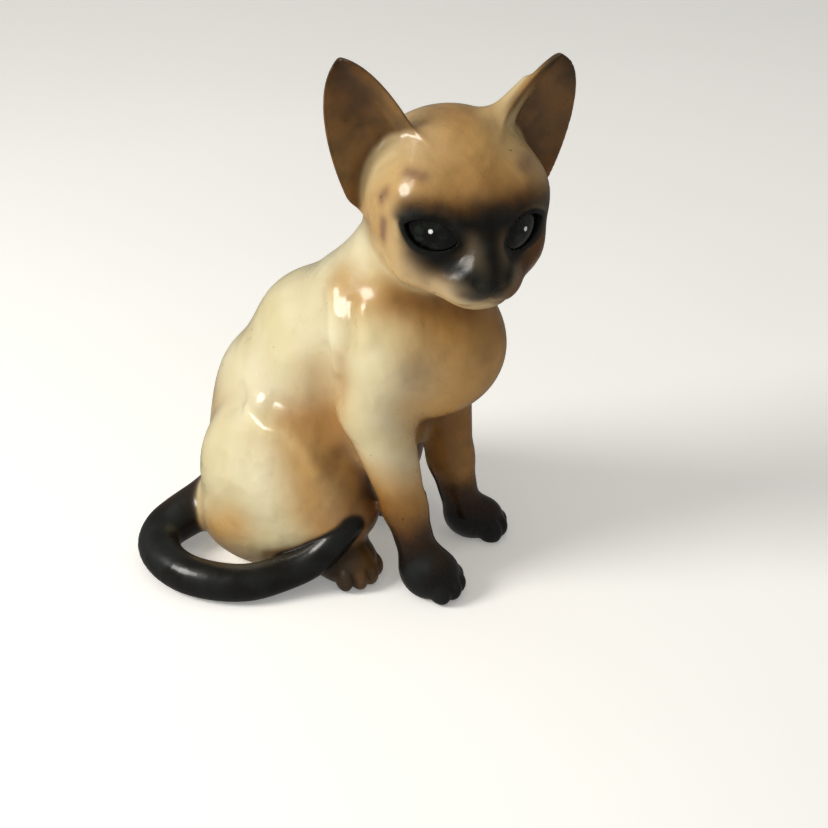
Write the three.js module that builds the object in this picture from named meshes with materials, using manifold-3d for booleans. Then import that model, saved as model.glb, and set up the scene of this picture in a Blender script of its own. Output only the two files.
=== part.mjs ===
// Sitting Siamese kitten, a glazed earthenware figurine about 200 mm tall.
//
// Every body part is a casting of its own, and neighbours meet in a thin slip joint.
// The torso and the head are thin-walled shells that open into each other at the neck, and the
// seat has the vent hole that a hollow ware piece needs for firing. Legs, feet and tail are solid.
//
// Millimetres, +Z up, nose towards -Y, the cat's left is +X. The origin is on the ground at the
// middle of the seat.

import * as THREE from 'three';
import { mergeVertices } from 'three/addons/utils/BufferGeometryUtils.js';
import Module from 'manifold-3d';

// ------------------------------------------------------------------ driving dimensions

const SEAT_CENTRE = new THREE.Vector3(0, 20, 0);   // the origin, in the modelling frame used below
const WALL = 4.5;                 // thickness of the hollow castings
const JOINT_GAP = 0.3;            // slip joint between two castings
const VENT_RADIUS = 4;            // vent hole in the seat
const VENT_BEHIND_SEAT_CENTRE = 12;

const HEAD_CENTRE = [0, -44, 148];
const HEAD_TURN = -42;            // degrees about +Z: the face looks over the right forepaw
const HEAD_NOD = 2;               // degrees, chin down
const HEAD_TILT = 3;              // degrees, left ear down

const NECK_CUT = [0, -27, 122];   // a point of the flat joint between torso and head
const NECK_CUT_SLOPE = 8;         // degrees that this joint leans forwards

const EYE_CENTRES = { left: [13.2, -24.8, 0.7], right: [17.1, -23.6, 2] };   // in the head's frame
const EYE_RADII = [9.3, 3.6, 5.4];
const EYE_TURN = 31;              // degrees that each eye looks outwards
const EYE_SLANT = 16;             // degrees that the outer corner stands above the inner one

const EAR_INNER = [13, 0, 30];    // in the head's frame, left ear: ends of its base
const EAR_OUTER = [30, 6, -8];
const EAR_TIPS = { left: [38.8, 5, 49.5], right: [41.7, 5, 53] };
const EAR_INNER_WIDTHS = { left: 15.9, right: 13.7 };     // from the ear's middle line to its rims
const EAR_OUTER_WIDTHS = { left: 17.3, right: 16.6 };
const EAR_THICKNESS = 3;
const EAR_CUP = 9;                // depth of the ear's hollow at its base
const EAR_RIM_FORWARD = 3;        // the rims stand this far in front of the base line

// Centre line of the tail, root to tip: x, y, z and radius. It leaves the rump, lies on the
// ground in a loop round the right haunch and ends propped against the thigh.
const TAIL = [
  [0, 42, 16, 11], [-15, 46, 16, 10.2], [-27, 49, 15, 9.4], [-36, 53.5, 12.6, 8.8],
  [-43, 56.3, 10.2, 8.3], [-50.3, 54.3, 8, 8.1], [-57.3, 46, 7.3, 7.6], [-61, 34, 7.1, 7.4],
  [-59.6, 21, 7, 7.2], [-54.5, 10.5, 7.1, 7.0], [-46, 1.6, 8.8, 6.8], [-40, -6, 12.3, 6.4],
  [-34.5, -11.5, 18, 6.1], [-31, -15.5, 24.5, 5.7], [-29.5, -17.5, 28, 5.5],
];

const CREAM = 0xe6d3a1;
const TAN = 0xb98a4e;
const SEAL_BROWN = 0x2f2119;
const CHARCOAL = 0x1d1f21;

// ------------------------------------------------------------------ clay masses
// A mass is a function of a point that is about the distance to its surface, negative inside.

const radians = THREE.MathUtils.degToRad;
const vector = (xyz) => new THREE.Vector3(...xyz);

/** Matrix of a frame at centre, turned by degrees about x, then y, then z. */
function frameAt(centre, turn = [0, 0, 0], order = 'ZYX') {
  const angles = new THREE.Euler(...turn.map(radians), order);
  return new THREE.Matrix4().makeRotationFromEuler(angles).setPosition(...centre);
}

/** Ellipsoid. */
function egg(centre, radii, turn) {
  const toLocal = frameAt(centre, turn).invert();
  const size = vector(radii);
  return (point) => {
    const scaled = point.clone().applyMatrix4(toLocal).divide(size);
    const reach = scaled.length();
    const slope = scaled.divide(size).length();
    return slope > 0 ? reach * (reach - 1) / slope : -Math.min(...radii);
  };
}

/** Round rod from one point to another, with a radius at each end. */
function bone(from, to, fromRadius, toRadius) {
  const start = vector(from);
  const run = vector(to).sub(start);
  return (point) => {
    const offset = point.clone().sub(start);
    const share = THREE.MathUtils.clamp(offset.dot(run) / run.lengthSq(), 0, 1);
    const radius = THREE.MathUtils.lerp(fromRadius, toRadius, share);
    return offset.addScaledVector(run, -share).length() - radius;
  };
}

/** Two masses run together with a fillet of the given width. */
function join(first, second, fillet) {
  return (point) => {
    const a = first(point);
    const b = second(point);
    const share = THREE.MathUtils.clamp(0.5 + 0.5 * (b - a) / fillet, 0, 1);
    return THREE.MathUtils.lerp(b, a, share) - fillet * share * (1 - share);
  };
}

/** The second mass pressed into the first one as a hollow with a soft edge. */
const press = (first, second, edge) => {
  const outside = join((point) => -first(point), second, edge);
  return (point) => -outside(point);
};

/** A mass and its mirror image across the plane x = 0. */
const pair = (mass) => (point) => mass(new THREE.Vector3(Math.abs(point.x), point.y, point.z));

/** The same mass, thicker by the given amount all round. */
const grown = (mass, amount) => (point) => mass(point) - amount;

/** A mass described in another frame. */
function placed(mass, frame) {
  const toLocal = frame.clone().invert();
  return (point) => mass(point.clone().applyMatrix4(toLocal));
}

// ------------------------------------------------------------------ solids

const wasm = await Module();
wasm.setup();

/** Manifold solid of a closed geometry whose vertices are already merged. */
function solidOf(geometry) {
  return new wasm.Manifold(new wasm.Mesh({
    numProp: 3,
    vertProperties: new Float32Array(geometry.attributes.position.array),
    triVerts: new Uint32Array(geometry.index.array),
  }));
}

/** Geometry with one vertex per place, each vertex moved by a function of its position. */
function moulded(geometry, move) {
  geometry.deleteAttribute('normal');
  geometry.deleteAttribute('uv');
  const merged = mergeVertices(geometry, 1e-4);
  const position = merged.attributes.position;
  for (let index = 0; index < position.count; index += 1) {
    const moved = move(new THREE.Vector3().fromBufferAttribute(position, index));
    position.setXYZ(index, moved.x, moved.y, moved.z);
  }
  return merged;
}

/** Distance from an inside point along a ray to the surface of a mass. */
function distanceOut(mass, from, ray) {
  let distance = 0;
  for (let step = 0; step < 300; step += 1) {
    const depth = -mass(from.clone().addScaledVector(ray, distance));
    if (depth < 0.005) break;
    distance += 0.8 * depth;
  }
  return distance;
}

/** Skin of a mass: a ball round a spine whose vertices slide out along their rays. */
function skin(mass, spineStart, spineEnd, columns, rows) {
  const start = vector(spineStart);
  const end = vector(spineEnd);
  const axis = end.clone().sub(start).normalize();
  const turn = new THREE.Quaternion().setFromUnitVectors(new THREE.Vector3(0, 1, 0), axis);
  const geometry = moulded(new THREE.SphereGeometry(1, columns, rows), (unit) => {
    const from = start.clone().lerp(end, (1 + unit.y) / 2);
    const ray = unit.applyQuaternion(turn).normalize();
    return from.clone().addScaledVector(ray, distanceOut(mass, from, ray));
  });
  return solidOf(geometry);
}

/** A box with its top face through a point, square to the normal, reaching far below it. */
function halfSpaceBelow(point, normal) {
  const size = 400;
  const turn = new THREE.Quaternion().setFromUnitVectors(new THREE.Vector3(0, 0, 1), normal);
  return solidOf(moulded(new THREE.BoxGeometry(size, size, size), (corner) => {
    corner.z -= size / 2;
    return corner.applyQuaternion(turn).add(point);
  }));
}

const GROUND = halfSpaceBelow(new THREE.Vector3(), new THREE.Vector3(0, 0, 1));

// ------------------------------------------------------------------ body masses

/** Trunk with the haunches and the upper arms; the neck runs on into the head. */
function trunkMass() {
  let mass = egg([0, 21, 32], [36, 35, 38]);
  mass = join(mass, egg([0, 11, 57], [32, 42, 36]), 10);
  mass = join(mass, egg([0, -3, 86.5], [27, 38, 29]), 10);
  mass = join(mass, egg([0, -26, 94], [29, 38, 31]), 10);
  mass = join(mass, bone([0, -22, 108], [0, -34, 138], 26, 19.5), 12);
  mass = join(mass, pair(egg([20, -28, 97], [12, 18, 20], [10, 0, 0])), 8);
  mass = join(mass, pair(egg([25, 14, 34.5], [19.5, 34, 37], [8, 0, 0])), 4);
  mass = join(mass, pair(egg([23, 22, 16.5], [22.5, 27, 17.5])), 6);
  mass = join(mass, egg([-23, -11, 28], [12.5, 14, 13]), 6);
  return join(mass, pair(bone([24, -32, 94], [25.5, -22.5, 74], 12, 7.5)), 5);
}

/** Skull, cheeks, nose bridge and muzzle, in the head's frame. */
function headMass() {
  let mass = egg([0, 3, 4.6], [31, 31, 28.8]);
  mass = join(mass, pair(egg([16.8, -12, 8], [11.8, 13.5, 12])), 8);
  mass = join(mass, pair(egg([15.8, -10, -8], [10.8, 16.5, 13.5])), 10);
  mass = join(mass, egg([0, -6, -15], [19, 19, 11]), 8);
  mass = join(mass, bone([0, -20, 5], [0, -31, -9], 9, 7.2), 10);
  mass = join(mass, pair(bone([15, -15, -9], [6, -26, -13.5], 11, 8.6)), 6);
  mass = join(mass, egg([0, -25, -14], [12.5, 11.5, 9]), 8);
  mass = join(mass, pair(egg([5, -29, -15.5], [7, 6.6, 6])), 4);
  mass = join(mass, egg([0, -26.5, -20.5], [7.5, 7.5, 5]), 4);
  mass = join(mass, egg([0, -35.4, -11.8], [5.2, 3.2, 3.2]), 3);
  return press(mass, pair(egg([17, -33.2, -2], [8, 5, 6])), 7);
}

// Joints of each foreleg and the radii there; middle, radii and outward turn of each paw. The left
// leg stands further forward, with its paw turned outwards.
const FORELEGS = {
  left: { shoulder: [22, -27.5, 74], wrist: [20.4, -34.8, 34], ankle: [19.8, -40.4, 13],
    girths: [13.4, 8.6, 7], paw: [23.4, -45.6, 7.9], size: [9.4, 11.8, 8.8], turn: 28 },
  right: { shoulder: [-22.5, -25.5, 74], wrist: [-20.5, -36.2, 34], ankle: [-20.2, -42.2, 13],
    girths: [12.8, 7.7, 7], paw: [-20.9, -48.4, 8.8], size: [10.2, 12, 10.2], turn: 6 },
};

function forelegMass({ shoulder, wrist, ankle, girths, paw, size, turn }) {
  let mass = bone(shoulder, wrist, girths[0], girths[1]);
  mass = join(mass, bone(wrist, ankle, girths[1], girths[2]), 4);
  return join(mass, egg(paw, size, [0, 0, turn]), 5);
}

// Heel, middle and outward turn of each hind foot.
const HIND_FEET = {
  left: { heel: [23.5, 12, 8.5], foot: [24, -7.8, 7.9], turn: 20 },
  right: { heel: [-26, 8, 8.5], foot: [-26.3, -14.7, 8.8], turn: -20 },
};

function hindFootMass({ heel, foot, turn }) {
  const shank = bone(heel, [heel[0], foot[1] + 4, 8.5], 9, 8);
  return join(shank, egg(foot, [10.8, 14.2, 9.8], [0, 0, turn]), 5);
}

// ------------------------------------------------------------------ castings

const headFrame = frameAt(HEAD_CENTRE, [HEAD_NOD, HEAD_TILT, HEAD_TURN], 'ZXY');
const neckNormal = new THREE.Vector3(0, -Math.sin(radians(NECK_CUT_SLOPE)),
  Math.cos(radians(NECK_CUT_SLOPE)));
const belowNeckCut = halfSpaceBelow(vector(NECK_CUT), neckNormal);
const belowNeckGap = halfSpaceBelow(vector(NECK_CUT).addScaledVector(neckNormal, JOINT_GAP),
  neckNormal);

/** The torso without its hollow, grown by an amount; others are coped to this. */
function torsoBlock(amount, columns = 40, rows = 28) {
  return skin(grown(trunkMass(), amount), [0, 16, 34], [0, -22, 94], columns, rows);
}

function makeTorso() {
  const hollow = torsoBlock(-WALL, 28, 18).subtract(
    halfSpaceBelow(new THREE.Vector3(0, 0, WALL), new THREE.Vector3(0, 0, 1)));
  const vent = solidOf(moulded(
    new THREE.CylinderGeometry(VENT_RADIUS, VENT_RADIUS, 4 * WALL, 24), (vertex) => (
      new THREE.Vector3(vertex.x, vertex.z + SEAT_CENTRE.y + VENT_BEHIND_SEAT_CENTRE, -vertex.y)
    )));
  return torsoBlock(0).subtract(hollow).intersect(belowNeckCut).subtract(GROUND).subtract(vent);
}

/** The head without its hollow, sockets and neck joint, grown by an amount. */
function headBlock(amount, columns, rows) {
  const mass = grown(join(placed(headMass(), headFrame), trunkMass(), 6), amount);
  const lowest = NECK_CUT[2] - 12;
  return skin((point) => Math.max(mass(point), lowest - point.z), [0, -36, 140], [0, -42, 152],
    columns, rows);
}

/** An eye is a shallow glazed dome that is flush in its socket; side is +1 for the left. */
function eyeBall(name, side, amount) {
  const [x, y, z] = EYE_CENTRES[name];
  const frame = headFrame.clone().multiply(
    frameAt([x * side, y, z], [0, -EYE_SLANT * side, EYE_TURN * side]));
  const radii = vector(EYE_RADII).addScalar(amount);
  return solidOf(moulded(new THREE.SphereGeometry(1, 20, 12), (unit) => (
    unit.multiply(radii).applyMatrix4(frame))));
}

/** Width of the ear's pointed arch on one side, at a share of the height from base to tip. */
function archWidth(width, share) {
  return width * (1 - THREE.MathUtils.clamp(share, 0, 1) ** 2) ** 0.54;
}

/** A cupped leaf: a ball pressed flat, cut to a pointed arch and rolled forwards at its rims. */
function earLeaf(name, side) {
  const inner = vector(EAR_INNER);
  const outer = vector(EAR_OUTER);
  const base = inner.clone().add(outer).multiplyScalar(0.5);
  const up = vector(EAR_TIPS[name]).sub(base);
  const height = up.length();
  up.normalize();
  const across = outer.clone().sub(inner);
  across.addScaledVector(up, -across.dot(up)).normalize();
  const forwards = across.clone().cross(up);
  const root = -0.2 * height;                             // the leaf starts inside the head
  const ball = moulded(new THREE.SphereGeometry(1, 22, 18), (unit) => {
    const share = (1 + unit.y) / 2;                       // 0 at the root, 1 at the tip
    const ring = Math.sqrt(Math.max(1 - unit.y ** 2, 1e-9));
    const sweep = unit.x / ring;                          // -1 at the inner rim, 1 at the outer
    const level = THREE.MathUtils.lerp(root, height, share);
    const outerRim = archWidth(EAR_OUTER_WIDTHS[name], level / height);
    const innerRim = archWidth(EAR_INNER_WIDTHS[name], level / height);
    const cup = EAR_CUP * (1 - 0.6 * Math.max(level, 0) / height) * (1 - sweep ** 2);
    const thickness = 0.5 * EAR_THICKNESS * unit.z / ring * Math.min(1, 3 * ring);
    const point = base.clone()
      .addScaledVector(up, level)
      .addScaledVector(across, THREE.MathUtils.lerp(-innerRim, outerRim, (1 + sweep) / 2))
      .addScaledVector(forwards, EAR_RIM_FORWARD - cup + thickness);
    point.x *= side;
    return point.applyMatrix4(headFrame);
  });
  return solidOf(side > 0 ? ball : flipped(ball));
}

/** The same geometry with its faces turned over, for a mirrored copy. */
function flipped(geometry) {
  const index = geometry.index;
  for (let corner = 0; corner < index.count; corner += 3) {
    const first = index.getX(corner);
    index.setX(corner, index.getX(corner + 2));
    index.setX(corner + 2, first);
  }
  return geometry;
}

/** The tail: a capsule bent along the centre line, with the radius of each station. */
function tailRod() {
  const line = new THREE.CatmullRomCurve3(TAIL.map(([x, y, z]) => new THREE.Vector3(x, y, z)));
  const radiusAt = (share) => {
    const station = THREE.MathUtils.clamp(share, 0, 1) * (TAIL.length - 1);
    const before = Math.min(Math.floor(station), TAIL.length - 2);
    return THREE.MathUtils.lerp(TAIL[before][3], TAIL[before + 1][3], station - before);
  };
  const steps = 44;
  const frames = line.computeFrenetFrames(steps);
  const height = line.getLength();
  const capsule = new THREE.CapsuleGeometry(1, height, 5, 14, steps);
  return solidOf(moulded(capsule, (vertex) => {
    const along = vertex.y / height + 0.5;
    const share = THREE.MathUtils.clamp(along, 0, 1);
    const station = Math.round(share * steps);
    const parameter = line.getUtoTmapping(share);
    const radius = radiusAt(parameter);
    const beyond = (along - share) * height * radius;
    return line.getPointAt(share)
      .addScaledVector(frames.tangents[station], beyond)
      .addScaledVector(frames.binormals[station], vertex.x * radius)
      .addScaledVector(frames.normals[station], vertex.z * radius);
  }));
}

// ------------------------------------------------------------------ assembly

const figurine = new THREE.Group();
figurine.position.copy(SEAT_CENTRE).negate();

function addCasting(name, manifold, colour, roughness) {
  const { vertProperties, triVerts } = manifold.getMesh();
  const geometry = new THREE.BufferGeometry();
  geometry.setAttribute('position', new THREE.BufferAttribute(vertProperties, 3));
  geometry.setIndex(new THREE.BufferAttribute(triVerts, 1));
  geometry.computeVertexNormals();
  const material = new THREE.MeshStandardMaterial({ color: colour, roughness, metalness: 0 });
  const mesh = new THREE.Mesh(geometry, material);
  mesh.name = name;
  figurine.add(mesh);
}

const torsoClearance = torsoBlock(JOINT_GAP);
const headClearance = headBlock(JOINT_GAP, 36, 28);

addCasting('torso', makeTorso(), CREAM, 0.25);

let head = headBlock(0, 36, 28).subtract(headBlock(-WALL, 20, 14)).subtract(belowNeckGap);
for (const [name, side] of [['left', 1], ['right', -1]]) {
  head = head.subtract(eyeBall(name, side, JOINT_GAP));
  addCasting(`${name}_eye`, eyeBall(name, side, 0), CHARCOAL, 0.08);
}
addCasting('head', head, TAN, 0.25);

for (const [name, side] of [['left', 1], ['right', -1]]) {
  const leg = FORELEGS[name];
  addCasting(`${name}_ear`, earLeaf(name, side).subtract(headClearance), SEAL_BROWN, 0.3);
  const foreleg = skin(forelegMass(leg), [21 * side, -30.5, 58], [leg.paw[0] - side, -44, 10],
    18, 26);
  addCasting(`${name}_foreleg`, foreleg.subtract(torsoClearance).subtract(GROUND), TAN, 0.25);
}

function hindFootBlock({ heel, foot, turn }, amount) {
  const mass = grown(hindFootMass({ heel, foot, turn }), amount);
  return skin(mass, [heel[0], heel[1] - 6, 9], [foot[0], foot[1], 9.4], 16, 14);
}
for (const [name, pose] of Object.entries(HIND_FEET)) {
  const foot = hindFootBlock(pose, 0).subtract(torsoClearance).subtract(GROUND);
  addCasting(`${name}_hind_foot`, foot, SEAL_BROWN, 0.25);
}

const tail = tailRod().subtract(torsoClearance).subtract(hindFootBlock(HIND_FEET.right, JOINT_GAP));
addCasting('tail', tail.subtract(GROUND), CHARCOAL, 0.2);

export default figurine;
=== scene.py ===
"""Sitting Siamese kitten, a glazed earthenware figurine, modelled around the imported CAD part.

The clay is described as a field: a mass is a function of points that is about the distance to its
surface, negative inside. The field is meshed and divided into the figurine's castings, then
painted by soft brushes that act on its vertices, and glazed by node materials.

The field works in millimetres: +Z up, nose towards -Y, the cat's left is +X.
"""

import math

import bpy
import numpy as np
import openvdb
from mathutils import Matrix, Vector
from mathutils.geometry import tessellate_polygon


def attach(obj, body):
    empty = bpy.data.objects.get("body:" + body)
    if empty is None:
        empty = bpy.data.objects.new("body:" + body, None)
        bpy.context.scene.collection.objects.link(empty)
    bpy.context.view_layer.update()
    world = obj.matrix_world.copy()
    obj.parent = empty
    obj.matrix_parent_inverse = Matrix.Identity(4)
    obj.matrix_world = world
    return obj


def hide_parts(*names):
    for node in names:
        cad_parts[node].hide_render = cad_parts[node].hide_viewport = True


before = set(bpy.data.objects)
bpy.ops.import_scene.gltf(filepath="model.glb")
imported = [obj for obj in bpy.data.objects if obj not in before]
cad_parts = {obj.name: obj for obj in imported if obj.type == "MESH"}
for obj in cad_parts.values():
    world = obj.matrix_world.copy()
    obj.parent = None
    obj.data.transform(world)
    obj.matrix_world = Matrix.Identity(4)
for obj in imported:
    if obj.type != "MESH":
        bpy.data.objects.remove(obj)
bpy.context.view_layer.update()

# ---------------------------------------------------------------- dimensions (mm, degrees)

SEAT_CENTRE = (0, 20, 0)        # the row frame's origin, in the field's frame
MILLIMETRE = 0.001
VOXEL_SCALE = 1.0

HEAD_CENTRE = (0, -44, 148)
HEAD_TURN, HEAD_NOD, HEAD_TILT = -42, 2, 3
NECK_CUT = (0, -27, 122)
NECK_CUT_SLOPE = 8
NECK_FILLET, EAR_FILLET = 6, 4

EYE_CENTRES = {1: (13.2, -25.2, 0.7), -1: (17.1, -24.0, 2.0)}   # openings, in the head's frame
EYE_TURN = 31                    # degrees that each eye looks outwards
EYE_SLANT = 16                   # degrees that the outer corner stands above the inner one
EYE_HALF_WIDTH, EYE_HALF_HEIGHT = 9.3, 5.4
EYE_BALL = (12.5, 8.3, 10.0)     # radii: across, deep, high
EYE_LIDS = (12.6, 9.0, 10.6)     # radii of the lids round it
LIDS_SET_BACK = {1: 4.9, -1: 4.9}           # their centres behind the opening, by side
BALL_SET_BACK = {1: 4.1, -1: 4.8}           # the same for the balls

EAR_INNER = (13, 0, 30)          # ends of an ear's base in the head's frame, for the left side
EAR_OUTER = (30, 6, -8)
EAR_TIPS = {1: (38.8, 5, 49.5), -1: (41.7, 5, 53)}            # by side: +1 is the cat's left
EAR_WIDTHS = {1: (16.2, 17.6), -1: (14.0, 16.9)}        # middle line to inner and outer rim
EAR_THICKNESS = 2.6
EAR_ARCH = 1.85                  # power of the outline across the leaf; it is 2 upwards
EAR_CUP = 9.0
EAR_RIM_FORWARD = 3.0
EAR_FOLDS = [                    # raised folds of the leaf: path (across, up), width, height
    ([(-8.5, 4, 0), (-8, 16, 0), (-5.5, 28, 0)], 1.6, 0.9),
    ([(-1.5, -2, 0), (0.5, 10, 0), (1.5, 20, 0)], 2.2, 0.7),
]

VENT = (0, 32)
VENT_RADIUS = 4

TAIL = [
    (0, 42, 16, 11), (-15, 46, 16, 10.2), (-27, 49, 15, 9.4), (-36, 53.5, 12.6, 8.8),
    (-43, 56.3, 10.2, 8.3), (-50.3, 54.3, 8, 8.1), (-57.3, 46, 7.3, 7.6), (-61, 34, 7.1, 7.4),
    (-59.6, 21, 7, 7.2), (-54.5, 10.5, 7.1, 7.0), (-46, 1.6, 8.8, 6.8), (-40, -6, 12.3, 6.4),
    (-34.5, -11.5, 18, 6.1), (-31, -15.5, 24.5, 5.7), (-29.5, -17.5, 28, 5.5),
]

# ---------------------------------------------------------------- masses

FAR = 30.0


def lengths(q):
    return np.sqrt(np.einsum("ij,ij->i", q, q))


def rotation(turn_x, turn_y, turn_z, order="zyx"):
    """Matrix of turns in degrees, the first letter of the order being the outermost turn."""
    angles = {"x": turn_x, "y": turn_y, "z": turn_z}
    matrix = np.eye(3)
    for axis in order:
        sine, cosine = math.sin(math.radians(angles[axis])), math.cos(math.radians(angles[axis]))
        first, second = {"x": (1, 2), "y": (2, 0), "z": (0, 1)}[axis]
        turn = np.eye(3)
        turn[first, first] = turn[second, second] = cosine
        turn[first, second], turn[second, first] = -sine, sine
        matrix = matrix @ turn
    return matrix.astype(np.float32)


def egg(centre, radii, turn=(0, 0, 0)):
    """Ellipsoid."""
    centre, radii, matrix = np.float32(centre), np.float32(radii), rotation(*turn)

    def mass(p):
        q = (p - centre) @ matrix / radii
        reach = lengths(q) + 1e-6
        return reach * (reach - 1) / (lengths(q / radii) + 1e-9)

    return mass


def bone(start, end, start_radius, end_radius):
    """Round rod from one point to another, with a radius at each end."""
    start, run = np.float32(start), np.float32(end) - np.float32(start)

    def mass(p):
        offset = p - start
        share = np.clip(offset @ run / (run @ run), 0, 1)
        radius = start_radius + (end_radius - start_radius) * share
        return lengths(offset - share[:, None] * run) - radius

    return mass


def blend_down(a, b, fillet):
    """The lower of two fields, with a fillet where they meet."""
    share = np.clip(0.5 + 0.5 * (b - a) / fillet, 0, 1)
    return b + (a - b) * share - fillet * share * (1 - share)


def join(first, *others):
    """A mass run together with others, each given as (mass, fillet)."""
    def mass(p):
        value = first(p)
        for other, fillet in others:
            value = blend_down(value, other(p), fillet)
        return value

    return mass


def press(first, *others):
    """A mass with others pressed into it, each given as (mass, edge radius)."""
    def mass(p):
        value = first(p)
        for other, edge in others:
            value = -blend_down(-value, other(p), edge)
        return value

    return mass


def pair(mass):
    """A mass and its mirror image across the plane x = 0."""
    return lambda p: mass(mirrored(p))


def nearby(centre, reach, mass):
    """A mass that is only worked out inside a ball, to save time."""
    centre = np.float32(centre)

    def gated(p):
        inside = np.flatnonzero(lengths(p - centre) < reach)
        value = np.full(len(p), FAR, np.float32)
        if inside.size:
            value[inside] = mass(p[inside])
        return value

    return gated


def brush(p, path, width):
    """How strongly a soft round brush drawn along a path touches each point: 1 on the path."""
    path = np.float32(path)
    reach = 2.4 * width
    close = np.all((p > path.min(0) - reach) & (p < path.max(0) + reach), axis=1)
    chosen = np.flatnonzero(close)
    touch = np.zeros(len(p), np.float32)
    if chosen.size:
        q = p[chosen]
        nearest = lengths(q - path[0])
        for start, end in zip(path[:-1], path[1:]):
            nearest = np.minimum(nearest, bone(start, end, 0, 0)(q))
        touch[chosen] = np.exp(-(nearest / width) ** 2)
    return touch


TETRAHEDRON = np.float32([(1, 1, 1), (1, -1, -1), (-1, 1, -1), (-1, -1, 1)])


def level_and_slope(mass, p, reach=0.1):
    """Value and gradient of a field, from four samples round each point."""
    samples = [mass(p + reach * corner) for corner in TETRAHEDRON]
    slope = sum(sample[:, None] * corner for sample, corner in zip(samples, TETRAHEDRON))
    return sum(samples) / 4, slope / (4 * reach)


def drawn_to(mass, p, most):
    """Points moved onto the surface of a mass, by no more than the given distance."""
    value, slope = level_and_slope(mass, p)
    step = value / (np.einsum("ij,ij->i", slope, slope) + 1e-6)
    move = step[:, None] * slope
    size = lengths(move) + 1e-9
    return p - move * np.minimum(1, most / size)[:, None]


def laid_on(mass, strokes):
    """The same strokes with their paths drawn onto the surface of a mass."""
    on_surface = []
    for path, width, strength in strokes:
        path = np.float32(path)
        for _ in range(4):
            path = drawn_to(mass, path, 3)
        on_surface.append((path, width, strength))
    return on_surface


def tooled(mass, strokes):
    """Both sides of a mass with raised (positive) or sunk strokes: (path, width, height)."""
    strokes = laid_on(mass, strokes)

    def worked(p):
        value = mass(p)
        over = mirrored(p)
        for path, width, height in strokes:
            value = value - height * brush(over, path, width)
        return value

    return worked


def mirrored(p):
    """Points brought over to the cat's left side."""
    return np.abs(p) * np.float32((1, 0, 0)) + p * np.float32((0, 1, 1))


# ---------------------------------------------------------------- head (in the head's frame)

HEAD_MATRIX = rotation(HEAD_NOD, HEAD_TILT, HEAD_TURN, "zxy")


def in_head(p):
    return (p - np.float32(HEAD_CENTRE)) @ HEAD_MATRIX


def unit(v):
    return v / np.linalg.norm(v)


def ear_frame(side):
    """Middle of the base, then the across, up and forwards directions, and the height."""
    points = (EAR_INNER, EAR_OUTER, EAR_TIPS[side])
    inner, outer, tip = (np.array(point, float) for point in points)
    base = (inner + outer) / 2
    height = np.linalg.norm(tip - base)
    up = unit(tip - base)
    across = unit((outer - inner) - up * ((outer - inner) @ up))
    forwards = np.cross(across, up)
    return base, np.stack([across, up, forwards], 1).astype(np.float32), height


EAR_FRAMES = {side: ear_frame(side) for side in (1, -1)}


def ear_place(q):
    """Points of the head's frame in the nearer ear's own frame, with the widths and height."""
    left = q[:, 0] > 0
    over = mirrored(q)
    local = np.empty_like(over)
    inner, outer, height = (np.empty(len(q), np.float32) for _ in range(3))
    for side, chosen in ((1, left), (-1, ~left)):
        base, matrix, tall = EAR_FRAMES[side]
        local[chosen] = (over[chosen] - np.float32(base)) @ matrix
        inner[chosen], outer[chosen] = EAR_WIDTHS[side]
        height[chosen] = tall
    return local, np.where(local[:, 0] < 0, inner, outer), height


def ear_mass(q):
    """Both ears: cupped leaves with a pointed-arch outline."""
    local, width, height = ear_place(q)
    across, up, forwards = local.T
    share = np.clip(up / height, 0, 1.3)
    side = np.abs(across) / width
    level = side ** EAR_ARCH + share ** 2.0 - 1
    slope = np.hypot(EAR_ARCH / width * side ** (EAR_ARCH - 1), 2.0 / height * share)
    outline = level / np.maximum(slope, 0.03)
    outline = -blend_down(-outline, up + 8, 10)
    rim = width * np.maximum(1 - np.minimum(share, 1) ** 2, 0.01) ** 0.54 + 0.5
    cup = EAR_CUP * (1 - 0.6 * np.clip(share, 0, 1))
    sweep = np.clip(across / rim, -1.2, 1.2)
    steepness = np.hypot(1, 1.4 * cup * sweep / rim)
    depth = forwards - EAR_RIM_FORWARD + cup * (1 - sweep ** 2)
    sheet = np.abs(depth) / steepness
    fold = np.zeros(len(q), np.float32)
    for path, breadth, rise in EAR_FOLDS:
        fold += rise * brush(local * np.float32((1, 1, 0)), path, breadth)
    fold *= smooth(depth, -0.5, 0.5)
    return -blend_down(-outline, EAR_THICKNESS / 2 + fold - sheet, 1.6)


EYE_MATRIX = rotation(0, -EYE_SLANT, EYE_TURN)
EYE_LOOK = rotation(0, 0, EYE_TURN) @ np.float32((0, -1, 0))       # the way an eye looks


def behind_eyes(set_back):
    """Points behind the middles of the two openings, by side, described for the left side."""
    return {side: np.float32(centre) - set_back[side] * EYE_LOOK
            for side, centre in EYE_CENTRES.items()}


LID_CENTRES = behind_eyes(LIDS_SET_BACK)
EYE_BALL_CENTRES = behind_eyes(BALL_SET_BACK)


def by_eye(mass, centres):
    """The same mass at both eyes, described in an eye's own frame, looking along -y."""
    def both(q):
        origins = np.where(q[:, :1] > 0, centres[1], centres[-1])
        return mass((mirrored(q) - origins) @ EYE_MATRIX)

    return both


def eye_opening(q):
    """Almond between the lids; q is in the eye's frame, looking along -y."""
    radius = (EYE_HALF_WIDTH ** 2 + EYE_HALF_HEIGHT ** 2) / (2 * EYE_HALF_HEIGHT)
    drop = radius - EYE_HALF_HEIGHT
    upper = np.hypot(q[:, 0], q[:, 2] + drop) - radius
    lower = np.hypot(q[:, 0], q[:, 2] - drop) - radius
    almond = -blend_down(-upper, -lower, 0.5)
    return np.maximum(almond, q[:, 1])


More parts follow.
